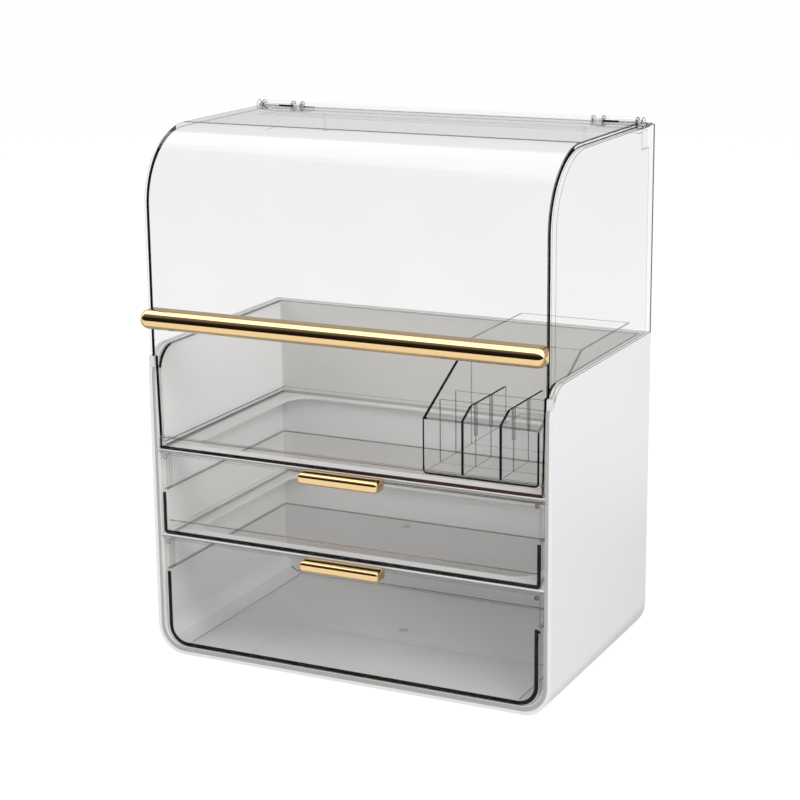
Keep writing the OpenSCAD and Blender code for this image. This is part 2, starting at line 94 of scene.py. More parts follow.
class Graph:
    """A material's or the world's node tree."""

    def __init__(self, owner):
        owner.use_nodes = True
        self.owner = owner
        self.tree = owner.node_tree
        self.tree.nodes.clear()

    def node(self, kind, inputs=None, **settings):
        made = self.tree.nodes.new(kind)
        for key, value in settings.items():
            setattr(made, key, value)
        for key, value in (inputs or {}).items():
            self.feed(made.inputs[key], value)
        return made

    def feed(self, socket, value):
        """Links a value to a socket, or sets the socket to a plain number, colour or vector."""
        if isinstance(value, Value):
            self.tree.links.new(value.socket, socket)
        elif isinstance(value, bpy.types.NodeSocket):
            self.tree.links.new(value, socket)
        elif isinstance(value, tuple) and len(value) == 3 and socket.type == "RGBA":
            socket.default_value = (*value, 1.0)
        else:
            socket.default_value = value

    def value(self, made, output=0):
        return Value(self, made.outputs[output])

    def math(self, operation, *terms, clamp=False):
        made = self.tree.nodes.new("ShaderNodeMath")
        made.operation = operation
        made.use_clamp = clamp
        for socket, term in zip(made.inputs, terms):
            self.feed(socket, term)
        return self.value(made)

    def spread(self, value, least, extra):
        """least where the value is 0, and least + extra where it is 1."""
        return self.math("MULTIPLY_ADD", value, extra, least)

    def rise(self, value, start, end):
        """0 at start, 1 at end, even in between and level beyond them. end may lie below start."""
        slope = 1.0 / (end - start)
        return self.math("MULTIPLY_ADD", value, slope, -start * slope, clamp=True)

    def mix(self, factor, a, b):
        """Colour a where factor is 0, b where it is 1."""
        made = self.tree.nodes.new("ShaderNodeMix")
        made.data_type = "RGBA"
        colour_sockets = [s for s in made.inputs if s.type == "RGBA"]
        self.feed(made.inputs["Factor"], factor)
        self.feed(colour_sockets[0], a)
        self.feed(colour_sockets[1], b)
        return Value(self, next(s for s in made.outputs if s.type == "RGBA"))

    def mix_shaders(self, factor, a, b):
        made = self.node("ShaderNodeMixShader")
        self.feed(made.inputs[0], factor)
        self.tree.links.new(a, made.inputs[1])
        self.tree.links.new(b, made.inputs[2])
        return made.outputs[0]

    def ramp(self, factor, stops):
        """Colour ramp with the given (position, colour) stops."""
        made = self.node("ShaderNodeValToRGB", {"Fac": factor})
        ramp = made.color_ramp
        ramp.interpolation = "LINEAR"
        while len(ramp.elements) < len(stops):
            ramp.elements.new(0.5)
        for element, (position, colour) in zip(ramp.elements, stops):
            element.position = position
            element.color = (*colour, 1.0)
        return self.value(made)

    def object_axes(self):
        """Place on the object as a vector, and as three values in its own axes."""
        place = self.node("ShaderNodeTexCoord").outputs["Object"]
        split = self.node("ShaderNodeSeparateXYZ", {"Vector": place})
        return place, [self.value(split, i) for i in range(3)]

    def object_normal(self):
        """The face's direction, as three values in the object's own axes."""
        normal = self.node("ShaderNodeNewGeometry").outputs["True Normal"]
        turned = self.node(
            "ShaderNodeVectorTransform",
            {"Vector": normal},
            vector_type="NORMAL",
            convert_from="WORLD",
            convert_to="OBJECT",
        )
        split = self.node("ShaderNodeSeparateXYZ", {"Vector": turned.outputs[0]})
        return [self.value(split, i) for i in range(3)]

    def noise(self, place, scale, detail=3.0, stretch=(1, 1, 1)):
        """Noise with features about 1 / scale metres across."""
        moved = self.node("ShaderNodeMapping", {"Vector": place, "Scale": stretch})
        made = self.node(
            "ShaderNodeTexNoise",
            {"Vector": moved.outputs[0], "Scale": scale, "Detail": detail},
        )
        return self.value(made)

    def bump(self, height, strength, distance):
        made = self.node(
            "ShaderNodeBump",
            {"Height": height, "Strength": strength, "Distance": distance},
        )
        return made.outputs[0]

    def surface(self, shader):
        kind = "ShaderNodeOutputMaterial"
        if isinstance(self.owner, bpy.types.World):
            kind = "ShaderNodeOutputWorld"
        out = self.node(kind)
        self.tree.links.new(shader, out.inputs["Surface"])
        return self.owner


def new_material(name):
    return Graph(bpy.data.materials.new(name))


# ------------------------------------------------------------------ materials

# Share of a clear wall's tint that dims the light on its way to what lies inside
LIGHT_LOSS = 0.35


def pale_plastic(name, patches=()):
    """White ABS with a satin skin, a trace of flow marks and fine grain.

    Each patch is a pair of a mask and a colour painted there; in this script they paint light and shade.
    """
    g = new_material(name)
    place, axes = g.object_axes()
    normal = g.object_normal()
    flow = g.noise(place, 9.0, stretch=(1, 1, 0.4))
    grain = g.noise(place, 1400.0, detail=2.0)
    colour = g.mix(flow, (0.85, 0.85, 0.85), (0.885, 0.885, 0.885))
    for mask, other in patches:
        colour = g.mix(mask(g, axes, normal), colour, other)
    skin = g.node(
        "ShaderNodeBsdfPrincipled",
        {
            "Base Color": colour,
            "Roughness": g.spread(flow, 0.3, 0.12),
            "Normal": g.bump(grain, 0.06, 0.0002),
        },
    )
    return g.surface(skin.outputs[0])


def see_through(name, through, patches=(), shine=0.3, slopes=None, slant=0.0):
    """Clear or smoky plastic: each face tints what is behind it.

    Each patch is a pair of a mask and the tint of the faces there, such as a dark one for wall ends.
    slopes may give the shine as (upward slope, shine) stops instead, and slant moves these stops per
    metre to the right. The light that falls through to the inside is dimmed less than the view, as
    the walls scatter it on.
    """
    g = new_material(name)
    place, axes = g.object_axes()
    normal = g.object_normal()
    cloud = g.noise(place, 14.0)
    streak = g.noise(place, 60.0, stretch=(0.15, 1, 1))
    thick, thin = (tuple(min(c * level, 1.0) for c in through) for level in (0.992, 1.006))
    tint = g.mix(cloud, thick, thin)
    for mask, colour in patches:
        tint = g.mix(mask(g, axes, normal), tint, colour)
    clear = g.node("ShaderNodeBsdfTransparent", {"Color": tint})
    mirror = g.node(
        "ShaderNodeBsdfGlossy",
        {
            "Color": (1.0, 1.0, 1.0),
            "Roughness": g.spread(streak, 0.01, 0.05),
            "Normal": g.bump(cloud, 0.1, 0.002),
        },
    )
    geometry = g.node("ShaderNodeNewGeometry")
    front = g.value(geometry, "Backfacing").flipped()
    fresnel = g.value(g.node("ShaderNodeFresnel", {"IOR": 1.5}))
    if slopes:
        top = max(level for _, level in slopes)
        slope = axes[0] * slant + normal[2]
        shine = g.ramp(slope, [(at, (level / top,) * 3) for at, level in slopes]) * top
    share = fresnel * front * shine
    seen = g.mix_shaders(share, clear.outputs[0], mirror.outputs[0])
    path = g.node("ShaderNodeLightPath")
    lighting = g.value(path, "Is Shadow Ray").either(g.value(path, "Is Diffuse Ray"))
    dimmed = tuple(1.0 - (1.0 - c) * LIGHT_LOSS for c in through)
    passing = g.node("ShaderNodeBsdfTransparent", {"Color": dimmed})
    return g.surface(g.mix_shaders(lighting, seen, passing.outputs[0]))


def hiding(g, share, colour, roughness):
    """Surface of a dull colour that lets the rest of what is behind it through."""
    clear = g.node("ShaderNodeBsdfTransparent", {"Color": (1.0, 1.0, 1.0)})
    dull = g.node(
        "ShaderNodeBsdfPrincipled",
        {"Base Color": colour, "Roughness": roughness, "Specular IOR Level": 0.0},
    )
    return g.surface(g.mix_shaders(share, clear.outputs[0], dull.outputs[0]))


def edge_shade(name, colour, strength, warm=None):
    """Line that a clear wall shows along its edge, a painted reflection: it hides a share of what is
    behind it.

    warm is the colour of a painted reflection of the gold pull, which the line takes around the middle of
    its length.
    """
    g = new_material(name)
    place, axes = g.object_axes()
    unevenness = g.noise(place, 120.0)
    if warm:
        # Painted reflection of the gold pull, around the middle of the line
        middle, full, gone = 12 * MM, 140 / 3 * MM, 80 * MM
        near = g.rise(abs(axes[0] - middle), gone, full)
        colour = uneven_colour = g.mix(near, colour, warm)
    else:
        uneven_colour = tuple(c * 0.8 for c in colour)
    roughness = g.spread(unevenness, 0.4, 0.1)
    return hiding(g, g.spread(unevenness, strength - 0.1, 0.2), g.mix(unevenness, uneven_colour, colour), roughness)


def wall_end(name, colour, warm):
    """A wall's end, where hardly any light comes through. It turns warmer towards the right."""
    g = new_material(name)
    place, axes = g.object_axes()
    cloud = g.noise(place, 50.0)
    start, full = -75 * MM, 275 / 3 * MM
    turned = g.mix(g.rise(axes[0], start, full), colour, warm)
    return hiding(g, g.spread(cloud, 0.94, 0.06), turned, g.spread(cloud, 0.45, 0.1))


def gold_plate():
    """Gold electroplate on smooth plastic: mirror bright, with faint ripples."""
    g = new_material("gold_plate")
    place, _ = g.object_axes()
    ripple = g.noise(place, 90.0)
    haze = g.noise(place, 400.0)
    skin = g.node(
        "ShaderNodeBsdfPrincipled",
        {
            "Base Color": g.mix(haze, (0.80, 0.57, 0.29), (0.84, 0.60, 0.31)),
            "Metallic": 1.0,
            "Roughness": g.spread(haze, 0.05, 0.04),
            "Normal": g.bump(ripple, 0.04, 0.0005),
        },
    )
    return g.surface(skin.outputs[0])


def steel(name, dark, light, metal=0.9, patches=()):
    """Turned steel of the pins and screws, with fine lathe marks."""
    g = new_material(name)
    place, axes = g.object_axes()
    lathe = g.noise(place, 900.0, stretch=(0.1, 1, 1))
    colour = g.mix(lathe, (dark,) * 3, (light,) * 3)
    for mask, other in patches:
        colour = g.mix(mask(g, axes, None), colour, other)
    skin = g.node(
        "ShaderNodeBsdfPrincipled",
        {
            "Base Color": colour,
            "Metallic": metal,
            "Roughness": g.spread(lathe, 0.3, 0.15),
        },
    )
    return g.surface(skin.outputs[0])


def soft_rubber(name, colour):
    """Matt elastomer with a fine speckle."""
    g = new_material(name)
    place, _ = g.object_axes()
    speckle = g.noise(place, 1800.0)
    skin = g.node(
        "ShaderNodeBsdfPrincipled",
        {
            "Base Color": g.mix(speckle, tuple(c * 0.92 for c in colour), colour),
            "Roughness": g.spread(speckle, 0.55, 0.2),
            "Normal": g.bump(speckle, 0.1, 0.0002),
        },
    )
    return g.surface(skin.outputs[0])


# ------------------------------------------------------- wall ends and marks

FAR = 10000.0
X, Y, Z = range(3)


def patch(axis, sign, x=(-FAR, FAR), y=(-FAR, FAR), z=(-FAR, FAR), least=0.7):
    """Mask of the faces that look along an axis, inside a box.

    sign is 1 or -1 for one direction of the axis, 0 for both. least is how straight they face it, 1
    for exactly along the axis.
    """

    def mask(g, axes, normal):
        part = abs(normal[axis]) if sign == 0 else normal[axis] * sign
        found = part > least
        for place, (low, high) in zip(axes, (x, y, z)):
            if low > -FAR:
                found = found * (place > low * MM)
            if high < FAR:
                found = found * (place < high * MM)
        return found

    return mask


def rim(half, radius, low, high, y, middle=0.0, bottom=0.0):
    """Mask of a strip along a front face's sides and bottom, from low to high off its border.

    The outline has rounded bottom corners and lies in front of y.
    """

    def mask(g, axes, normal):
        across = g.math("MAXIMUM", abs(axes[0] - middle * MM) - (half - radius) * MM, 0.0)
        down = g.math("MAXIMUM", (axes[2] - (bottom + radius) * MM) * -1.0, 0.0)
        within = g.math("SQRT", across * across + down * down) * -1.0 + radius * MM
        front = (normal[1] < -0.7) * (axes[1] < y * MM)
        return front * (within > low * MM) * (within < high * MM)

    return mask


def gate_mark(x, y, radius, z):
    """Mask of the round mark that the mould's gate leaves on a floor."""
    slack = 0.3

    def mask(g, axes, normal):
        across = axes[0] - x * MM
        along = axes[1] - y * MM
        distance = g.math("SQRT", across * across + along * along)
        level = abs(axes[2] - z * MM) < slack * MM
        return (distance < radius * MM) * level

    return mask


def pin_line(near, far, half_height):
    """Mask of the dark line along a hinge pin, between two distances from the organizer's middle."""
    low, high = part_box("right_hinge_pin")
    level = (low[2] + high[2]) / 2

    def mask(g, axes, normal):
        along = (abs(axes[0]) > near * MM) * (abs(axes[0]) < far * MM)
        return along * (abs(axes[2] - level) < half_height * MM)

    return mask


# -------------------------------------------------------------- piece builders


def dress(names, material, bevel=0.0):
    """Gives CAD nodes their material, and a small bevel on their sharp edges."""
    for name in names:
        node = nodes[name]
        node.data.materials.clear()
        node.data.materials.append(material)
        if bevel:
            weld = node.modifiers.new("weld", "WELD")
            weld.merge_threshold = 0.01 * MM
            edge = node.modifiers.new("bevel", "BEVEL")
            edge.width = bevel * MM
            edge.segments = 3
            edge.limit_method = "ANGLE"
            edge.angle_limit = math.radians(40)
            edge.harden_normals = True


def new_piece(name, corners, faces, material, body):
    """Mesh object that rides on a body."""
    mesh = bpy.data.meshes.new(name)
    mesh.from_pydata(corners, [], faces)
    mesh.materials.append(material)
    piece = bpy.data.objects.new(name, mesh)
    bpy.context.scene.collection.objects.link(piece)
    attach(piece, body)
    return piece


def flat_piece(name, body, material, quads):
    """Piece of flat strips, each given by its four corners."""
    corners = [Vector(corner) * MM for quad in quads for corner in quad]
    faces = [tuple(range(first, first + 4)) for first in range(0, len(corners), 4)]
    return new_piece(name, corners, faces, material, body)


def quarter(steps):
    """Angles of a quarter turn."""
    return [math.radians(90 * i / steps) for i in range(steps + 1)]


def gold_bar(name, body, material, radius, end_radius, tail=0.0):
    """Plated bar in a CAD bar's place: round front edges, rounded ends, flat back.

    tail is 1 where the ends are rounded towards the back as well.
    """
    low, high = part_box(name)
    half_l = (high[0] - low[0]) / 2
    middle_x = (high[0] + low[0]) / 2
    middle_z = (high[2] + low[2]) / 2
    half_h = (high[2] - low[2]) / 2
    front, back = low[1], high[1]
    radius, end_radius = radius * MM, end_radius * MM
    arc = quarter(12)

    def section(x, inset):
        r = max(radius - inset, 0.2 * MM)
        reach = half_h - inset
        centre_y = front + inset + r
        rear = back - inset * tail
        upper = [(rear, reach), (rear - (rear - centre_y) * 0.9, reach)]
        upper += [(centre_y - r * math.sin(a), reach - r + r * math.cos(a)) for a in arc]
        profile = upper + [(y, -z) for y, z in reversed(upper)]
        return [(middle_x + x, y, middle_z + z) for y, z in profile]

    steps = [(half_l - end_radius + end_radius * math.sin(a), end_radius * (1 - math.cos(a))) for a in arc]
    sections = [section(-x, inset) for x, inset in reversed(steps)]
    sections += [section(x, inset) for x, inset in steps]
    count = len(sections[0])
    corners = [corner for loop in sections for corner in loop]
    faces = []
    for i in range(len(sections) - 1):
        for k in range(count):
            n = (k + 1) % count
            faces.append((i * count + k, (i + 1) * count + k, (i + 1) * count + n, i * count + n))
    faces.append(tuple(range(count)))
    faces.append(tuple(range(len(corners) - 1, len(corners) - 1 - count, -1)))
    piece = new_piece(f"{name}_plated", corners, faces, material, body)
    piece.data.update()
    fixed = bmesh.new()
    fixed.from_mesh(piece.data)
    bmesh.ops.recalc_face_normals(fixed, faces=fixed.faces)
    fixed.to_mesh(piece.data)
    fixed.free()
    piece.data.shade_smooth()
    piece.data.set_sharp_from_angle(angle=math.radians(40))
    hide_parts(name)
    return piece


def end_faces(name, body, material, keep, label="ends"):
    """Copies of a node's wall ends, just under them, so that they show also where a part lies on them.

    keep(middle, normal) says which faces are wall ends, by the face's middle.
    """
    depth = 0.06 * MM
    corners, faces = [], []
    mesh = nodes[name].data
    for face in mesh.polygons:
        if not keep(face.center / MM, face.normal):
            continue
        first = len(corners)
        corners += [mesh.vertices[i].co - face.normal * depth for i in face.vertices]
        faces.append(tuple(range(first, len(corners))))
    return new_piece(f"{name}_{label}", corners, faces, material, body)


def end_strips(name, body, material, y, boxes):
    """Upright strips at y, each given as (x0, x1, z0, z1), facing the front."""
    return flat_piece(name, body, material, [
        ((x0, y, z0), (x1, y, z0), (x1, y, z1), (x0, y, z1)) for x0, x1, z0, z1 in boxes
    ])


def end_groove(name, body, material, half, low, high, radius, width):
    """Dark U just under a drawer's front face, where the front meets the tub's walls and floor.

    half is half its width, low and high are its lowest and highest level, radius rounds its corners.
    """
    y = -90.7
    arc = quarter(10)

    def outline(inset):
        r = max(radius - inset, 0.1)
        x, z = half - inset - r, low + inset + r
        left = [(-x - r * math.cos(a), z - r * math.sin(a)) for a in arc]
        right = [(x + r * math.sin(a), z - r * math.cos(a)) for a in arc]
        return [(inset - half, high), *left, *right, (half - inset, high)]

    outer, inner = outline(0.0), outline(width)
    corners = [Vector((x, y, z)) * MM for x, z in outer + inner]
    count = len(outer)
    faces = [(i, i + 1, count + i + 1, count + i) for i in range(count - 1)]
    # On the right, a wall that stands off the body ends in a small step outwards
    step_x, step_low, step_high = 142.5, high - 2.4, high - 0.8
    if half < step_x:
        step = [(half, step_low), (step_x, step_low), (step_x, step_high), (half, step_high)]
        corners += [Vector((x, y, z)) * MM for x, z in step]
        faces.append(tuple(range(2 * count, 2 * count + 4)))
    return new_piece(name, corners, faces, material, body)


def edge_lines(name, body, width, material, keep=None, label="edges"):
    """Thin strips along a node's sharp edges, just under both faces that meet there.

    keep(middle, along, normal) may leave strips out, by the edge's middle, its direction and the
    direction of the strip's face.
    """
    depth = 0.03 * MM
    least = math.radians(25)
    source = bmesh.new()
    source.from_mesh(nodes[name].data)
    bmesh.ops.remove_doubles(source, verts=source.verts, dist=0.002 * MM)
    source.normal_update()
    corners, faces = [], []
    for edge in source.edges:
        if len(edge.link_faces) != 2 or edge.calc_face_angle(0.0) < least:
            continue
        a, b = (v.co.copy() for v in edge.verts)
        for face in edge.link_faces:
            if keep and not keep((a + b) / 2 / MM, (b - a).normalized(), face.normal):
                continue
            inward = face.normal.cross(b - a).normalized()
            if inward.dot(face.calc_center_median() - a) < 0:
                inward = -inward
            sunk = face.normal * -depth
            first = len(corners)
            step = inward * width * MM
            corners += [a + sunk, b + sunk, b + sunk + step, a + sunk + step]
            faces.append(tuple(range(first, first + 4)))
    source.free()
    return new_piece(f"{name}_{label}", corners, faces, material, body)


# ------------------------------------------------------------------ the part

# Tints, per face of a wall
SMOKE = (0.955, 0.953, 0.95)
LIGHT_SMOKE = (0.964, 0.962, 0.959)
DARK_SMOKE = (0.937, 0.936, 0.936)
CLEAR = (0.967, 0.967, 0.967)
RACK_CLEAR = (0.998, 0.998, 0.998)
UNTINTED = (1.0, 1.0, 1.0)
BLACK_END = (0.008, 0.008, 0.01)
GREY_END = (0.5, 0.5, 0.5)
GREY_MARK = (0.72, 0.72, 0.72)
# Painted light and shade on the pale body: front ends, inner left and back walls, a frame's lower front
PAINTED_FRONT_SHADE = (0.455, 0.43, 0.4)
PAINTED_LEFT_LIGHT = (0.98, 0.98, 0.975)
PAINTED_BACK_SHADE = (0.79, 0.785, 0.765)
SHADED = (0.3, 0.29, 0.28)

# Shares of the mirror image that flat walls show
WALL_SHINE, RACK_SHINE = 0.15, 0.1

# Levels of the drawers' floors and of the upper drawer's lip
UPPER_FLOOR, LOWER_FLOOR = 92.4, 8.4
UPPER_LIP = 97.6
# The rack's floor, and levels just below its dividers' and walls' tops
RACK_FLOOR, DIVIDER_TOP, RACK_TOP = 156.7, 199.6, 229.0
# Inner face of the rack's left wall, and the middles of its dividers and its partition
RACK_LEFT_X = 58.0
LONG_DIVIDER_XS = (84.0, 111.0)
CROSS_DIVIDER_YS = (("front", -62.1), ("rear", -37.2))
PARTITION_Y = -12.3
# Limits that tell a solid's faces and edges apart
TRAY_SIDE_X, TRAY_CURVE_Y, TRAY_CURVE_Z, TRAY_LIP_Z = 138.0, -66.0, 207.0, 156.0
TUB_FRONT_Y, TUB_BACK_Y = -85.0, 80.0
LID_SIDE_X = 146.0


def dress_body():
    dress(["body_shell"], pale_plastic("pale_body", [
        # Painted shade on the body's front ends
        (rim(150, 21, 2.5, 7.0, -90), PAINTED_FRONT_SHADE),
        # Painted light on the body's inner left wall
        (patch(X, 1, x=(-FAR, -140)), PAINTED_LEFT_LIGHT),
        # Painted shade on the body's inner back wall
        (patch(Y, -1, y=(60, FAR), z=(150, FAR)), PAINTED_BACK_SHADE),
    ]), bevel=0.8)
    for name, level in (("divider_frame", 86.2), ("tray_frame", 148.2)):
        dress([name], pale_plastic(f"pale_{name}", [
            # Painted shadow on the lower part of the frame's front face
            (patch(Y, -1, y=(-FAR, -90), z=(-FAR, level + 1.1)), SHADED),
        ]), bevel=0.2)


def dress_trim():
    """Gold bars, pins, screws, buttons and the lid's stops."""
    gold = gold_plate()
    gold_bar("lid_bar", "lid", gold, 6.7, 6.2, tail=1.0)
    gold_bar("upper_drawer_pull", "upper_drawer", gold, 3.0, 2.6)
    gold_bar("lower_drawer_pull", "lower_drawer", gold, 3.0, 2.6)
    dress(["left_hinge_pin", "right_hinge_pin"], steel("bright_steel", 0.7, 0.8, 0.25, [
        (pin_line(120.6, 132.0, 0.75), BLACK_END),
    ]))
    dress(["lid_bar_screws", "upper_drawer_screws", "lower_drawer_screws"],
          steel("dark_steel", 0.05, 0.09))
    # The right buttons are the darker ones
    dress(["upper_drawer_buttons", "lower_drawer_buttons"], see_through("button", SMOKE, [
        (patch(Y, 0, x=(0, FAR), least=-1.0), GREY_END),
    ]))
    dress(["lid_rest_bumpers"], soft_rubber("bumper_rubber", (0.8, 0.8, 0.78)))


def dress_tray_and_drawers():
    # The tray's left wall lies close to the body's white one and is left untinted: painted light on the
    # wall seen through it
    dress(["top_tray"], see_through("smoky_tray", SMOKE, [
        (patch(X, 0, x=(-FAR, -TRAY_SIDE_X)), UNTINTED),
    ], shine=WALL_SHINE))
    for level, smoke, mark in (
        ("upper", LIGHT_SMOKE, gate_mark(10.7, -18.0, 3.8, UPPER_FLOOR)),
        ("lower", DARK_SMOKE, gate_mark(0.6, -2.5, 3.6, LOWER_FLOOR)),
    ):
        dress([f"{level}_drawer_tub"],
              see_through(f"smoky_{level}_tub", smoke, [(mark, GREY_MARK)], shine=WALL_SHINE))
        dress([f"{level}_drawer_front"], see_through(f"smoky_{level}_front", smoke, shine=WALL_SHINE))


def dress_canopy():
    """Lid, surround and hinge brackets. The lid mirrors the soft box in its bend."""
    dress(["lid"], see_through("clear_lid", CLEAR, [
        # The sheet's side ends, from the bend down
        (patch(X, 0, y=(-FAR, -50)), BLACK_END),
    ], slopes=[(0.0, 0.05), (0.66, 0.05), (0.74, 1.15), (0.9, 1.2), (0.97, 0.85)], slant=0.42))
    dress(["surround"], see_through("clear_surround", CLEAR, shine=WALL_SHINE))
    dress(["left_hinge_bracket", "right_hinge_bracket"], see_through("clear_bracket", CLEAR))


def dress_rack():
    front_y, foot_z = -85, 154.6
    dress(["rack_shell"], see_through("clear_rack", RACK_CLEAR, [
        # The walls' tops, darkest on the left wall
        (patch(Z, 1, z=(160, FAR), least=0.3), GREY_END),
        (patch(Z, 1, x=(-FAR, 59), y=(-FAR, -12), z=(160, FAR), least=0.3), BLACK_END),
        # The front face's border, a narrower strip on the left
        (rim(41.5, 3.5, 0.3, 1.7, front_y, middle=97.5, bottom=foot_z), BLACK_END),
        (patch(Y, -1, x=(-FAR, 60), y=(-FAR, front_y), z=(160, FAR)), RACK_CLEAR),
        (patch(Y, -1, x=(56.4, 57.5), y=(-FAR, front_y), z=(157.5, FAR)), BLACK_END),
    ], shine=RACK_SHINE))
    dress(["rack_partition"], see_through("clear_partition", RACK_CLEAR, [
        (patch(Z, 1), GREY_END),
    ], shine=RACK_SHINE))
    dress(["rack_long_divider_left", "rack_long_divider_right"],
          see_through("clear_long_divider", RACK_CLEAR, [
              (patch(Y, -1, y=(-FAR, -66), least=0.2), BLACK_END),
              (patch(Z, 1, z=(190, FAR), least=0.5), BLACK_END),
          ], shine=RACK_SHINE))
    dress(["rack_cross_divider_front", "rack_cross_divider_rear"],
          see_through("clear_cross_divider", RACK_CLEAR, [
              (patch(Z, 1), GREY_END),
              (patch(X, 0), GREY_END),
          ], shine=RACK_SHINE))


# ------------------------------------------------- lines along the clear walls: painted reflections

LINE = edge_shade("edge_dark", (0.02, 0.02, 0.022), 0.85)
SOFT_LINE = edge_shade("edge_soft", (0.05, 0.05, 0.05), 0.5)
FAINT_LINE = edge_shade("edge_faint", (0.1, 0.1, 0.1), 0.28)
PAINTED_REFLECTION_LINE = edge_shade("painted_reflection_pale", (0.7, 0.7, 0.7), 0.3)
# Lines on the lips, with a painted reflection of the gold pull below them
LIP_LINE = edge_shade("edge_lip", (0.06, 0.06, 0.06), 0.55, warm=(0.42, 0.2, 0.06))
SMOKY_END = wall_end("smoky_end", (0.004, 0.004, 0.006), (0.004, 0.004, 0.006))
TRAY_END = wall_end("tray_end", (0.006, 0.004, 0.005), (0.045, 0.016, 0.014))


def back_corner(middle, along):
    """Whether an edge stands upright at the back."""
    return middle.y > 60 and abs(along.z) > 0.7


def tub_side(middle, along, normal):
    """Whether an edge is one of a tub's sides and floor, and no upright one at the back."""
    return TUB_FRONT_Y < middle.y < TUB_BACK_Y and not back_corner(middle, along)


def tub_back(middle, along, normal):
    return middle.y >= TUB_BACK_Y and abs(along.z) < 0.7


def line_tray():
    def curve(middle, normal):
        return abs(middle.x) > TRAY_SIDE_X and middle.y < TRAY_CURVE_Y and normal.y < -0.15

    end_faces("top_tray", "base", TRAY_END,
              lambda middle, normal: curve(middle, normal) and middle.z > TRAY_CURVE_Z)
    end_faces("top_tray", "base", FAINT_LINE,
              lambda middle, normal: curve(middle, normal) and middle.z <= TRAY_CURVE_Z,
              label="low_ends")
    end_strips("tray_floor_end", "base", TRAY_END, -90.74, [
        (-143.4, 143.4, 150.25, 152.6),
        (-143.2, -141.4, 152.6, 158.4),
        (142.5, 144.1, 152.6, 158.4),
    ])


def line_tray_edges():
    edge_lines("top_tray", "base", 0.42, LINE, keep=tub_side)
    edge_lines("top_tray", "base", 0.4, FAINT_LINE, label="back_edges", keep=tub_back)
    edge_lines("top_tray", "base", 1.2, LIP_LINE, label="lip_edges",
               keep=lambda middle, along, normal: (
                   middle.y <= TUB_FRONT_Y and middle.z > TRAY_LIP_Z and normal.z > 0.5))


def line_surround():
    outer_x, outer_y = 149, 90

    def right_side(middle, normal):
        return middle.x > LID_SIDE_X and abs(normal.x) > 0.7

    edge_lines("surround", "base", 0.35, LINE, label="right_edges",
               keep=lambda middle, along, normal: right_side(middle, normal))
    edge_lines("surround", "base", 2.6, LINE, label="back_right_edge",
               keep=lambda middle, along, normal: (
                   middle.x > outer_x and middle.y > outer_y
                   and abs(along.z) > 0.7 and normal.x > 0.7))
    edge_lines("surround", "base", 0.35, FAINT_LINE,
               keep=lambda middle, along, normal: (
                   not right_side(middle, normal) and not back_corner(middle, along)))
    for side in ("left", "right"):
        edge_lines(f"{side}_hinge_bracket", "base", 0.4, LINE)


def line_drawer_floor():
    """Dark lines beside the lower drawer's floor, and pale lines on it that are painted reflections."""
    front, back, z = -86, 79, LOWER_FLOOR - 0.05
    flat_piece("lower_drawer_floor_lines", "lower_drawer", LINE, [
        ((outer, front, z), (inner, front, z), (inner, back, z), (outer, back, z))
        for outer, inner in ((-126.1, -125.5), (126.1, 125.5))
    ])
    # Painted reflections on the lower drawer's floor
    flat_piece("lower_drawer_floor_painted_reflections", "lower_drawer", PAINTED_REFLECTION_LINE, [
        ((-77.8, front, z), (-76.8, front, z), (-76.8, -24, z), (-77.8, -24, z)),
        ((-76.8, -24.6, z), (118, -24.6, z), (118, -22.2, z), (-76.8, -22.2, z)),
    ])


def line_lid():
    bend = ((-41.8, 371.03), (-39.0, 371.12), (-37.0, 371.12))
    ends = (-146.2, 146.2)
    new_piece("lid_bend_line", [Vector((x, y, z)) * MM for y, z in bend for x in ends],
              [(0, 1, 3, 2), (2, 3, 5, 4)], LINE, "lid")
    edge_lines("lid", "lid", 0.35, SOFT_LINE,
               keep=lambda middle, along, normal: middle.x < LID_SIDE_X)
    edge_lines("lid", "lid", 1.0, LINE, label="right_edges",
               keep=lambda middle, along, normal: middle.x >= LID_SIDE_X)


def line_drawers():
    for level in ("upper", "lower"):
        body = f"{level}_drawer"
        tub = f"{level}_drawer_tub"
        edge_lines(tub, body, 0.42, LINE, keep=tub_side)
        edge_lines(tub, body, 0.35, SOFT_LINE, label="back_edges", keep=tub_back)
        edge_lines(f"{level}_drawer_front", body, 0.35, FAINT_LINE)
    edge_lines("upper_drawer_tub", "upper_drawer", 1.1, LIP_LINE, label="lip_edges",
               keep=lambda middle, along, normal: (
                   middle.y <= TUB_FRONT_Y and abs(middle.z - UPPER_LIP) < 0.5 and normal.z > 0.5))


def line_rack():
    """Lines around the rack's floor, and where its dividers cross and meet its walls and floor."""
    floor_top, front_back = 157, -84
    edge_lines("rack_shell", "rack", 0.35, FAINT_LINE,
               keep=lambda middle, along, normal: middle.z < floor_top and middle.y > front_back)
    for name, y in CROSS_DIVIDER_YS:
        end_strips(f"rack_{name}_crossings", "rack", LINE, y, [
            *[(x - 0.3, x + 0.3, RACK_FLOOR, DIVIDER_TOP) for x in LONG_DIVIDER_XS],
            (RACK_LEFT_X, RACK_LEFT_X + 0.5, RACK_FLOOR, DIVIDER_TOP),
        ])
    end_strips("rack_partition_meetings", "rack", SOFT_LINE, PARTITION_Y, [
        (RACK_LEFT_X, RACK_LEFT_X + 0.8, RACK_FLOOR, RACK_TOP),
        (LONG_DIVIDER_XS[0] - 0.4, LONG_DIVIDER_XS[0] + 0.4, 175.0, DIVIDER_TOP),
    ])
    front_y, back_y, z = -83.2, -37.2, RACK_FLOOR
    flat_piece("rack_divider_feet", "rack", SOFT_LINE, [
        ((x - 0.4, front_y, z), (x + 0.4, front_y, z), (x + 0.4, back_y, z), (x - 0.4, back_y, z))
        for x in LONG_DIVIDER_XS
    ])


# ------------------------------------------------------------------ the scene


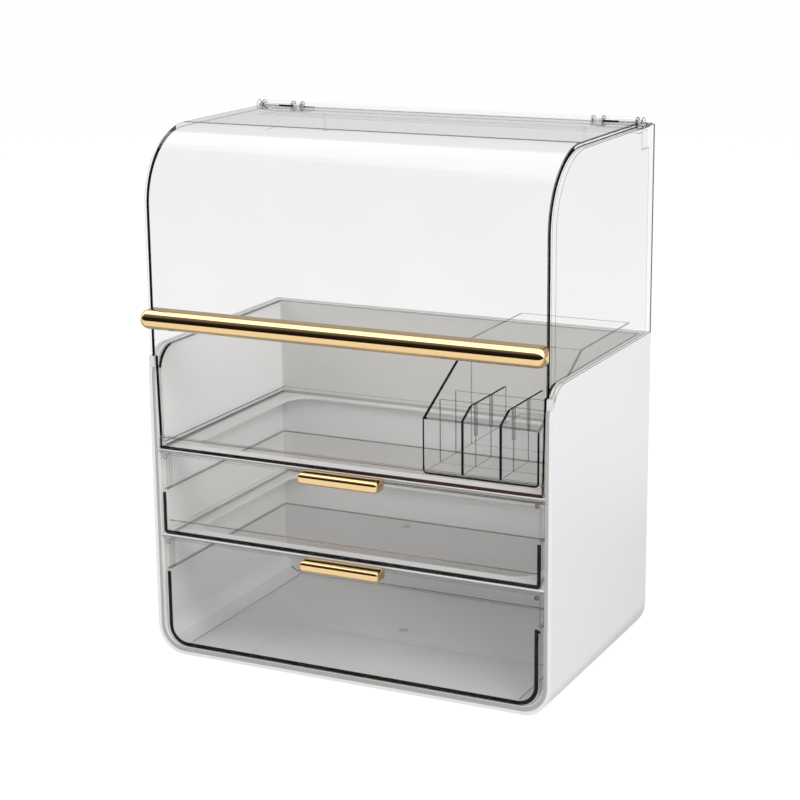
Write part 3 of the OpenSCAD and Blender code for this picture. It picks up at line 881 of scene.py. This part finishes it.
def studio_floor():
    """Pale floor that stays white for the camera but for the object's soft shadow."""
    mesh = bpy.data.meshes.new("floor")
    reach = 14.0
    mesh.from_pydata([(-reach, -reach, 0), (reach, -reach, 0), (reach, reach, 0), (-reach, reach, 0)],
                     [], [(0, 1, 2, 3)])
    floor = bpy.data.objects.new("floor", mesh)
    bpy.context.scene.collection.objects.link(floor)
    g = new_material("floor")
    path = g.node("ShaderNodeLightPath")
    _, axes = g.object_axes()
    mirrored = g.value(path, "Is Glossy Ray")
    seen = g.value(path, "Is Camera Ray").either(mirrored).either(g.value(path, "Is Transmission Ray"))
    plain = g.node("ShaderNodeBsdfDiffuse", {"Color": (0.8, 0.8, 0.8)})
    shadowed = g.node("ShaderNodeBsdfDiffuse", {"Color": (0.3, 0.3, 0.3)})
    glow = g.node("ShaderNodeEmission", {"Color": (1.0, 1.0, 1.0), "Strength": 0.8})
    white = g.node("ShaderNodeAddShader")
    g.tree.links.new(shadowed.outputs[0], white.inputs[0])
    g.tree.links.new(glow.outputs[0], white.inputs[1])
    unlit = g.node("ShaderNodeBsdfDiffuse", {"Color": (0.01, 0.01, 0.01)})
    # Mirrors lose the floor in the dark of the studio, well in front of the object, and lose a share
    # of it around the object's foot
    lit = g.rise(axes[1], -1.375, -1.125)
    near = g.rise(axes[1], -0.17, -0.12) * 0.6
    near = near * g.rise(axes[1], 0.5, 0.3)
    shown = g.mix_shaders(seen, plain.outputs[0], white.outputs[0])
    lost = mirrored * lit.flipped().either(near)
    mesh.materials.append(g.surface(g.mix_shaders(lost, shown, unlit.outputs[0])))


def studio_world():
    """Soft white surroundings. Mirrors also see a dark band in front, as in a studio."""
    world = bpy.data.worlds.new("studio")
    bpy.context.scene.world = world
    g = Graph(world)
    way = g.node("ShaderNodeTexCoord").outputs["Generated"]
    split = g.node("ShaderNodeSeparateXYZ", {"Vector": way})
    y, z = g.value(split, 1), g.value(split, 2)
    # Degrees up from the horizon in front: 90 is overhead, 180 the horizon behind
    height = g.math("ARCTAN2", z, y * -1.0) * (180.0 / math.pi)
    # The soft box's lower edge slants a little, so it is higher for what is reflected from the left
    lower = g.math("MULTIPLY_ADD", g.value(split, 0), -40.0, 46.0)
    lower = g.math("MINIMUM", g.math("MAXIMUM", lower, 54.0), 72.0)
    above = g.rise(height - lower, -2.0, 2.0)
    below = g.rise(height, 126.875, 120.625)
    band = g.mix(g.rise(height, 25.0, 50.0), (0.006, 0.0055, 0.005), (0.09, 0.085, 0.08))
    band = g.mix(g.rise(height, 115.0, 125.0), band, (0.21, 0.21, 0.21))
    band = g.mix(above * below, band, (1.0, 1.0, 1.0))
    path = g.node("ShaderNodeLightPath")
    seen = g.value(path, "Is Camera Ray").either(g.value(path, "Is Transmission Ray"))
    colour = g.mix(g.value(path, "Is Glossy Ray"), (0.62, 0.62, 0.62), band)
    colour = g.mix(seen, colour, (1.0, 1.0, 1.0))
    # What mirrors see is brighter, so that the soft box stands out in them
    mirrored = g.value(path, "Is Glossy Ray") * seen.flipped()
    strength = g.spread(mirrored, 1.0, 1.4)
    g.surface(g.node("ShaderNodeBackground", {"Color": colour, "Strength": strength}).outputs[0])


def softbox(name, place, size, power):
    """Square lamp that looks at the organizer and doesn't show in mirrors."""
    target = (0, 0, 0.2)
    lamp = bpy.data.lights.new(name, "AREA")
    lamp.shape = "SQUARE"
    lamp.size = size
    lamp.energy = power
    made = bpy.data.objects.new(name, lamp)
    made.location = place
    made.rotation_euler = (Vector(target) - Vector(place)).to_track_quat("-Z", "Y").to_euler()
    made.visible_glossy = False
    bpy.context.scene.collection.objects.link(made)


def studio_camera():
    """The photograph's view, found from the part's straight edges."""
    azimuth, elevation, roll = (math.radians(v) for v in (26.23, 14.533, -0.587))
    target = Vector((-1.89, 0.0, 178.35)) * MM
    distance = 1472.5 * MM
    focal_px, image_px, sensor = 2102.95, 800.0, 36.0
    back = Vector((math.sin(azimuth) * math.cos(elevation),
                   -math.cos(azimuth) * math.cos(elevation), math.sin(elevation)))
    right = back.cross(Vector((0, 0, -1))).normalized()
    up = back.cross(right)
    turned_right = right * math.cos(roll) + up * math.sin(roll)
    turned_up = up * math.cos(roll) - right * math.sin(roll)
    data = bpy.data.cameras.new("camera")
    data.sensor_width = sensor
    data.lens = sensor * focal_px / image_px
    data.clip_end = 100.0
    camera = bpy.data.objects.new("camera", data)
    turn = Matrix((turned_right, turned_up, back)).transposed().to_4x4()
    camera.matrix_world = Matrix.Translation(target + back * distance) @ turn
    bpy.context.scene.collection.objects.link(camera)
    bpy.context.scene.camera = camera


dress_body()
dress_trim()
dress_tray_and_drawers()
dress_canopy()
dress_rack()

line_tray()
end_groove("upper_drawer_groove", "upper_drawer", SMOKY_END, 142.5, 88.7, 119.0, 3.0, 2.7)
end_groove("lower_drawer_groove", "lower_drawer", SMOKY_END, 141.2, 6.5, 61.0, 14.6, 2.9)
line_tray_edges()
line_surround()
line_drawer_floor()
line_lid()
line_drawers()
line_rack()

studio_floor()
studio_world()
softbox("key", (1.7, -1.1, 1.7), 1.4, 25.5)
softbox("fill", (-1.8, -1.4, 1.4), 1.6, 14.0)
studio_camera()

scene = bpy.context.scene
scene.view_settings.view_transform = "Standard"
# The view passes through many clear walls, one behind the other
scene.cycles.transparent_max_bounces = 64
